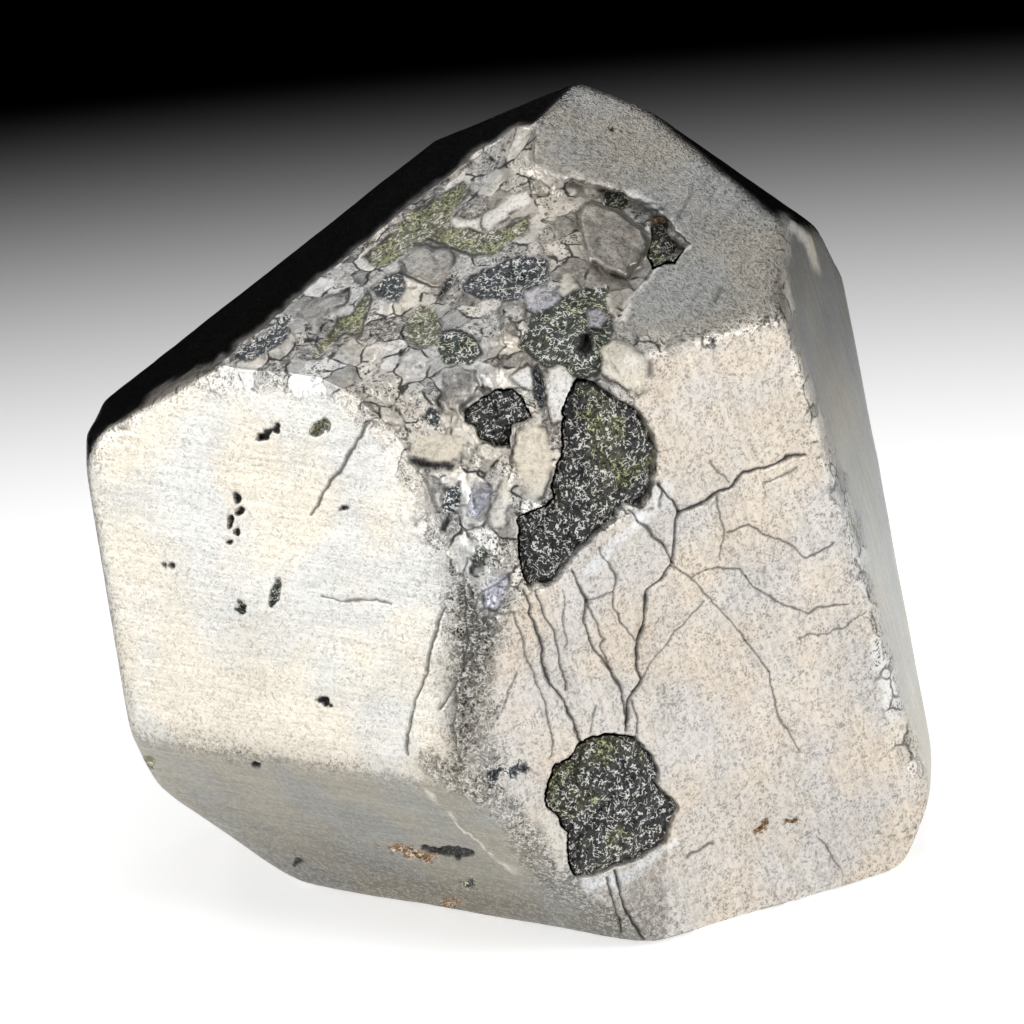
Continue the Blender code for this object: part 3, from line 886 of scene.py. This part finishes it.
class Shader:
    """A material's node tree, built a node at a time."""

    def __init__(self, name):
        self.material = bpy.data.materials.new(name)
        self.material.use_nodes = True
        self.tree = self.material.node_tree
        self.surface = self.tree.nodes["Principled BSDF"]

    def add(self, kind, settings=None, **inputs):
        node = self.tree.nodes.new(kind)
        for key, value in (settings or {}).items():
            setattr(node, key, value)
        for key, value in inputs.items():
            self.put(node.inputs[key.replace("_", " ")], value)
        return node

    def put(self, socket, value):
        if isinstance(value, bpy.types.NodeSocket):
            self.tree.links.new(value, socket)
        else:
            socket.default_value = value

    def math(self, operation, a, b=0.0, clamp=False):
        node = self.add("ShaderNodeMath", {"operation": operation, "use_clamp": clamp})
        self.put(node.inputs[0], a)
        self.put(node.inputs[1], b)
        return node.outputs[0]

    def mix(self, share, a, b, blend="MIX"):
        node = self.add("ShaderNodeMix", {"data_type": "RGBA", "blend_type": blend})
        self.put(node.inputs["Factor"], share)
        self.put(node.inputs["A"], a)
        self.put(node.inputs["B"], b)
        return node.outputs["Result"]

    def ramp(self, value, low, high, to_low=0.0, to_high=1.0):
        node = self.add("ShaderNodeMapRange", {"clamp": True})
        for name, number in zip(("From Min", "From Max", "To Min", "To Max"), (low, high, to_low, to_high)):
            node.inputs[name].default_value = number
        self.put(node.inputs["Value"], value)
        return node.outputs["Result"]

    def noise(self, vector, scale, detail=2.0, roughness=0.5):
        node = self.add("ShaderNodeTexNoise", {"noise_dimensions": "3D"})
        self.put(node.inputs["Vector"], vector)
        node.inputs["Scale"].default_value = scale
        node.inputs["Detail"].default_value = detail
        node.inputs["Roughness"].default_value = roughness
        return node.outputs["Fac"]

    def attribute(self, name):
        return self.add("ShaderNodeAttribute", {"attribute_name": name})


def speckled(shader, place, ground, speckle, green):
    """The ground colour under salt and pepper: dark specks, and thin crooked light lines that are painted glints,
    partly real yellow-green specks.
    """
    fine = shader.noise(place, 7500.0, 1.0, 0.5)
    crooked = shader.math("ABSOLUTE", shader.math("SUBTRACT", fine, 0.5))
    broken = shader.noise(place, 5200.0, 1.0, 0.5)
    # The light specks are painted glints, with some real yellow-green specks.
    glints_and_specks = shader.math("MULTIPLY", shader.ramp(crooked, 0.07, 0.03), shader.ramp(broken, 0.45, 0.53))
    pepper = shader.math("MULTIPLY", shader.ramp(crooked, 0.06, 0.11), shader.ramp(broken, 0.56, 0.48))
    patches = shader.noise(place, 1300.0, 1.0, 0.5)
    pepper = shader.math("MULTIPLY", pepper, shader.ramp(patches, 0.35, 0.6, 0.5, 1.0))
    greenish = shader.math("MULTIPLY", shader.ramp(patches, 0.48, 0.56), green)
    glint_and_speck_colour = shader.mix(greenish, (0.82, 0.80, 0.76, 1.0), (0.60, 0.59, 0.30, 1.0))
    colour = shader.mix(shader.math("MULTIPLY", pepper, speckle), ground, (0.012, 0.012, 0.012, 1.0))
    colour = shader.mix(shader.math("MULTIPLY", glints_and_specks, speckle), colour, glint_and_speck_colour)
    return colour, crooked


def crystal_material():
    """Dull metal with growth lines, dark specks, light specks that are painted glints, and the tint that its points
    carry.
    """
    shader = Shader("cobaltite")
    place = shader.add("ShaderNodeNewGeometry").outputs["Position"]
    growth = shader.attribute("growth").outputs["Vector"]
    tint = shader.attribute("tint")
    marks = shader.attribute("finish")
    finish = shader.add("ShaderNodeSeparateColor")
    shader.put(finish.inputs["Color"], marks.outputs["Color"])
    metallic, roughness, speckle = finish.outputs["Red"], finish.outputs["Green"], finish.outputs["Blue"]

    lines = shader.noise(growth, 8.0, 4.0, 0.7)
    streaks = shader.noise(growth, 2.2, 2.0, 0.6)
    grain = shader.noise(place, 7500.0, 2.0, 0.75)
    clouds = shader.noise(place, 380.0, 3.0, 0.55)
    casts = shader.noise(place, 290.0, 2.0, 0.5)

    shade = shader.math("ADD", shader.ramp(lines, 0.3, 0.7, 0.86, 1.1), shader.ramp(grain, 0.3, 0.7, -0.13, 0.13))
    shade = shader.math("MULTIPLY", shade, shader.ramp(clouds, 0.3, 0.7, 0.9, 1.06))
    shade = shader.math("MULTIPLY", shade, shader.ramp(streaks, 0.3, 0.7, 0.93, 1.05))
    warm_or_cool = shader.mix(shader.ramp(casts, 0.42, 0.6), (1.03, 1.0, 0.95, 1.0), (0.94, 0.98, 1.04, 1.0))
    ground = shader.mix(1.0, tint.outputs["Color"], warm_or_cool, "MULTIPLY")

    cells = shader.add("ShaderNodeTexVoronoi", {"feature": "DISTANCE_TO_EDGE"})
    bent_place = shader.add("ShaderNodeVectorMath", {"operation": "MULTIPLY_ADD"})
    wobble = shader.add("ShaderNodeTexNoise")
    shader.put(wobble.inputs["Vector"], place)
    wobble.inputs["Scale"].default_value = 1500.0
    shader.put(bent_place.inputs[0], wobble.outputs["Color"])
    bent_place.inputs[1].default_value = (0.0005, 0.0005, 0.0005)
    shader.put(bent_place.inputs[2], place)
    shader.put(cells.inputs["Vector"], bent_place.outputs["Vector"])
    cells.inputs["Scale"].default_value = 1000.0
    outline = shader.math("MULTIPLY", shader.ramp(cells.outputs["Distance"], 0.06, 0.02), marks.outputs["Alpha"])
    outline = shader.math("MULTIPLY", outline, shader.ramp(wobble.outputs["Fac"], 0.42, 0.56, 0.0, 0.9))
    tones = shader.add("ShaderNodeTexVoronoi", {"feature": "F1"})
    shader.put(tones.inputs["Vector"], bent_place.outputs["Vector"])
    tones.inputs["Scale"].default_value = 1000.0
    tone = shader.add("ShaderNodeSeparateColor")
    shader.put(tone.inputs["Color"], tones.outputs["Color"])
    uneven = shader.ramp(tone.outputs["Red"], 0.0, 1.0, 0.4, 1.4)
    uneven = shader.math("ADD", 1.0, shader.math("MULTIPLY", shader.math("SUBTRACT", uneven, 1.0), marks.outputs["Alpha"]))
    smooth_cell = shader.ramp(tone.outputs["Green"], 0.45, 0.6, 1.0, 0.35)
    smooth_cell = shader.math(
        "ADD", 1.0, shader.math("MULTIPLY", shader.math("SUBTRACT", smooth_cell, 1.0), marks.outputs["Alpha"])
    )
    speckle = shader.math("MULTIPLY", speckle, smooth_cell)
    shade = shader.math("MULTIPLY", shade, uneven)

    grey = shader.add("ShaderNodeCombineColor")
    for channel in ("Red", "Green", "Blue"):
        shader.put(grey.inputs[channel], shade)
    ground = shader.mix(1.0, ground, grey.outputs["Color"], "MULTIPLY")
    colour, crooked = speckled(shader, place, ground, speckle, tint.outputs["Alpha"])
    colour = shader.mix(outline, colour, (0.012, 0.011, 0.01, 1.0))
    shader.put(shader.surface.inputs["Base Color"], colour)
    shader.put(shader.surface.inputs["Metallic"], metallic)
    rough = shader.math("ADD", roughness, shader.ramp(grain, 0.3, 0.7, -0.05, 0.05), clamp=True)
    shader.put(shader.surface.inputs["Roughness"], rough)

    height = shader.math("ADD", shader.math("MULTIPLY", lines, 0.3), shader.math("MULTIPLY", grain, 0.15))
    height = shader.math("SUBTRACT", height, shader.math("MULTIPLY", crooked, shader.math("MULTIPLY", speckle, 3.0)))
    bump = shader.add("ShaderNodeBump")
    bump.inputs["Strength"].default_value = 0.5
    bump.inputs["Distance"].default_value = 0.00004
    shader.put(bump.inputs["Height"], height)
    shader.put(shader.surface.inputs["Normal"], bump.outputs["Normal"])
    return shader.material


def dark_material(name):
    """Granular dark mineral with painted glints as light specks in its colour, and yellow-green dust."""
    shader = Shader(name)
    place = shader.add("ShaderNodeNewGeometry").outputs["Position"]
    patches = shader.noise(place, 500.0, 3.0, 0.6)
    ground = shader.mix(shader.ramp(patches, 0.5, 0.62), (0.035, 0.037, 0.038, 1.0), (0.10, 0.105, 0.06, 1.0))
    green = shader.ramp(patches, 0.5, 0.62, 0.05, 0.9)
    colour, crooked = speckled(shader, place, ground, 0.95, green)
    shader.put(shader.surface.inputs["Base Color"], colour)
    shader.surface.inputs["Metallic"].default_value = 0.2
    shader.surface.inputs["Roughness"].default_value = 0.4
    bump = shader.add("ShaderNodeBump")
    bump.inputs["Strength"].default_value = 0.7
    bump.inputs["Distance"].default_value = 0.0001
    shader.put(bump.inputs["Height"], shader.math("MULTIPLY", crooked, -3.0))
    shader.put(shader.surface.inputs["Normal"], bump.outputs["Normal"])
    return shader.material


GRAIN_SPACING = 0.055
GRAIN_GAP = 0.04
GRAIN_SINK = 0.3
GRAIN_DOME = 0.35
GRAIN_DEPTH = 0.6


def front_depth(seen):
    """The depth of the crystal's surface where the camera sees it, without its fine bumps."""
    worn = smoothstep(-0.05, 0.05, depth_inside(seen, WORN_OUTLINE, 2.0))
    depth = crystal_depth(seen)
    return depth + worn * (worn_sheet(seen) - depth)


def grain_object(name, outline, seed):
    """A closed lump that fills its pocket, granular on top."""
    corners = np.array(outline)
    low, high = corners.min(0), corners.max(0)
    rows = np.arange(low[1], high[1], GRAIN_SPACING * 0.87)
    columns = np.arange(low[0], high[0], GRAIN_SPACING)
    grid = np.array([
        (x + (i % 2) * GRAIN_SPACING / 2, y) for i, y in enumerate(rows) for x in columns
    ])
    grid += 0.25 * GRAIN_SPACING * np.stack(
        [smooth_noise(grid, 0.06, seed), smooth_noise(grid, 0.06, seed + 1)], axis=1
    )
    deep = depth_inside(bent(grid), outline, 3.0)
    keep = deep > GRAIN_GAP
    grid, deep = grid[keep], deep[keep]
    made = geometry.delaunay_2d_cdt([Vector(p) for p in grid], [], [], 0, 1e-5)
    seen = np.array([tuple(p) for p in made[0]])
    triangles = np.array([f for f in made[2] if len(f) == 3])
    middle = seen[triangles].mean(axis=1)
    sides = np.stack([np.linalg.norm(seen[triangles[:, i]] - seen[triangles[:, i - 1]], axis=1) for i in range(3)])
    triangles = triangles[inside(bent(middle), outline) & (sides.max(axis=0) < 2.5 * GRAIN_SPACING)]
    triangles = largest_sheet(triangles)
    used = np.unique(triangles)
    number = np.full(len(seen), -1)
    number[used] = np.arange(len(used))
    triangles, seen = number[triangles], seen[used]
    a, b, c = (seen[triangles[:, i]] for i in range(3))
    flipped = (b - a)[:, 0] * (c - a)[:, 1] - (b - a)[:, 1] * (c - a)[:, 0] < 0
    triangles[flipped] = triangles[flipped][:, ::-1]

    rim = rim_points(triangles)
    deep = np.maximum(depth_inside(bent(seen), outline, 3.0), 0)
    deep[rim] = 0
    top = front_depth(seen) - GRAIN_SINK + GRAIN_DOME * smoothstep(0, 0.5, deep)
    lumps = facets(seen, 0.5, 0.7, seed) + 0.5 * facets(seen, 0.2, 0.8, seed + 9)
    top += lumps * smoothstep(0, 0.2, deep) + 0.03 * fractal_noise(seen, 0.15, 2, seed)
    bottom = front_depth(seen) - GRAIN_SINK - GRAIN_DEPTH * smoothstep(0, 0.4, deep)
    bottom[rim] = top[rim]
    bottom = np.minimum(bottom, top)
    inner = np.setdiff1d(np.arange(len(seen)), rim)
    under = np.arange(len(seen))
    under[inner] = len(seen) + np.arange(len(inner))
    points = np.vstack([placed(seen, top), placed(seen[inner], bottom[inner])])
    return to_mesh(name, points, np.vstack([triangles, under[triangles][:, ::-1]]))


def rim_points(triangles):
    """The points on the edge of a sheet of triangles."""
    sides = np.sort(np.vstack([triangles[:, [0, 1]], triangles[:, [1, 2]], triangles[:, [2, 0]]]), axis=1)
    found, count = np.unique(sides, axis=0, return_counts=True)
    return np.unique(found[count == 1])


def largest_sheet(triangles):
    """The largest group of triangles that join along their edges."""
    group = np.arange(triangles.max() + 1)
    while True:
        lowest = group[triangles].min(axis=1)
        before = group.copy()
        np.minimum.at(group, triangles.ravel(), np.repeat(lowest, 3))
        group = group[group]
        if (group == before).all():
            break
    kinds, count = np.unique(group[triangles[:, 0]], return_counts=True)
    return triangles[group[triangles[:, 0]] == kinds[np.argmax(count)]]


# The floor's glow and its fade to black behind are painted light and a painted falloff, not lamps.
FLOOR_SIZE = 8000
FLOOR_PALE = 0.82
FLOOR_PAINTED_GLOW = 0.56
FADE_CENTRE_Y = -160
FADE_START = 184
FADE_END = 243


def make_floor():
    """A pale floor with a painted glow, whose colour and glow fade to black behind: a painted falloff of light."""
    bpy.ops.mesh.primitive_plane_add(size=FLOOR_SIZE * MM, location=(0, 0, 0))
    floor = bpy.context.object
    floor.name = "floor"
    shader = Shader("floor")
    place = shader.add("ShaderNodeNewGeometry").outputs["Position"]
    away = shader.add("ShaderNodeVectorMath", {"operation": "DISTANCE"})
    shader.put(away.inputs[0], place)
    away.inputs[1].default_value = (0, FADE_CENTRE_Y * MM, 0)
    painted_falloff = shader.add("ShaderNodeMapRange", {"clamp": True, "interpolation_type": "SMOOTHSTEP"})
    shader.put(painted_falloff.inputs["Value"], away.outputs["Value"])
    painted_falloff.inputs["From Min"].default_value = FADE_START * MM
    painted_falloff.inputs["From Max"].default_value = FADE_END * MM
    painted_falloff.inputs["To Min"].default_value = 1.0
    painted_falloff.inputs["To Max"].default_value = 0.0
    pale = shader.add("ShaderNodeCombineColor")
    for channel in ("Red", "Green", "Blue"):
        shader.put(pale.inputs[channel], shader.math("MULTIPLY", painted_falloff.outputs["Result"], FLOOR_PALE))
    shader.put(shader.surface.inputs["Base Color"], pale.outputs["Color"])
    shader.surface.inputs["Roughness"].default_value = 0.9
    shader.surface.inputs["Specular IOR Level"].default_value = 0.0
    shader.surface.inputs["Emission Color"].default_value = (1.0, 1.0, 1.0, 1.0)
    shader.put(
        shader.surface.inputs["Emission Strength"],
        shader.math("MULTIPLY", painted_falloff.outputs["Result"], FLOOR_PAINTED_GLOW),
    )
    floor.data.materials.append(shader.material)


# Soft lights: azimuth and elevation from the crystal, distance, width and height in mm, and brightness, as the
# radiance of its face.
SOFTBOXES = {
    "left_softbox": (-162, 20, 190, 150, 130, 3.2),
    "right_softbox": (-32, 24, 200, 120, 130, 4.2),
    "top_softbox": (40, 74, 200, 110, 110, 1.5),
    "back_left_softbox": (122, 50, 210, 110, 90, 2.2),
    "front_softbox": (-90, 62, 220, 90, 60, 6.0),
}
AIM_HEIGHT = 10


def make_softbox(name, azimuth, elevation, distance, width, height, radiance):
    """A rectangular light that faces the crystal's middle."""
    light = bpy.data.lights.new(name, "AREA")
    light.shape = "RECTANGLE"
    light.size = width * MM
    light.size_y = height * MM
    light.energy = radiance * math.pi * light.size * light.size_y
    lamp = bpy.data.objects.new(name, light)
    away = direction(azimuth, elevation)
    lamp.location = Vector((away * distance + np.array((0, 0, AIM_HEIGHT))) * MM)
    lamp.rotation_mode = "QUATERNION"
    lamp.rotation_quaternion = Vector(-away).to_track_quat("-Z", "Y")
    bpy.context.scene.collection.objects.link(lamp)


def make_lights():
    for name, spec in SOFTBOXES.items():
        make_softbox(name, *spec)
    world = bpy.data.worlds.new("studio")
    world.use_nodes = True
    world.node_tree.nodes["Background"].inputs["Color"].default_value = (0.015, 0.015, 0.016, 1.0)
    bpy.context.scene.world = world
    bpy.context.scene.view_settings.view_transform = "Standard"


def make_camera():
    camera = bpy.data.objects.new("camera", bpy.data.cameras.new("camera"))
    camera.data.lens = LENS
    camera.data.sensor_width = SENSOR
    camera.data.clip_start = 0.05
    camera.data.clip_end = 10
    turn = Matrix((RIGHT, UP, TOWARD)).transposed()
    camera.matrix_world = Matrix.Translation(Vector((HEART + TOWARD * CAMERA_DISTANCE) * MM)) @ turn.to_4x4()
    bpy.context.scene.collection.objects.link(camera)
    bpy.context.scene.camera = camera


def main():
    for obj in list(bpy.data.objects):
        bpy.data.objects.remove(obj)
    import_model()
    make_camera()
    make_lights()
    make_floor()

    directions, triangles = crystal_mesh()
    print("crystal", len(directions), len(triangles))
    points, skin, face = sculpt(directions)
    crystal = to_mesh("crystal_surface", points, triangles)
    store_skin(crystal.data, skin, growth_coordinates(surface(directions), face))
    crystal.data.materials.append(crystal_material())
    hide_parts("cobaltite_crystal")
    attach(crystal, "root")

    dark = dark_material("dark_mineral")
    for seed, (name, outline) in enumerate(GRAINS.items()):
        grain = grain_object(name + "_surface", outline, 60 + 20 * seed)
        grain.data.materials.append(dark)
        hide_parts(name)
        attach(grain, "root")
        print(name, len(grain.data.polygons))


main()
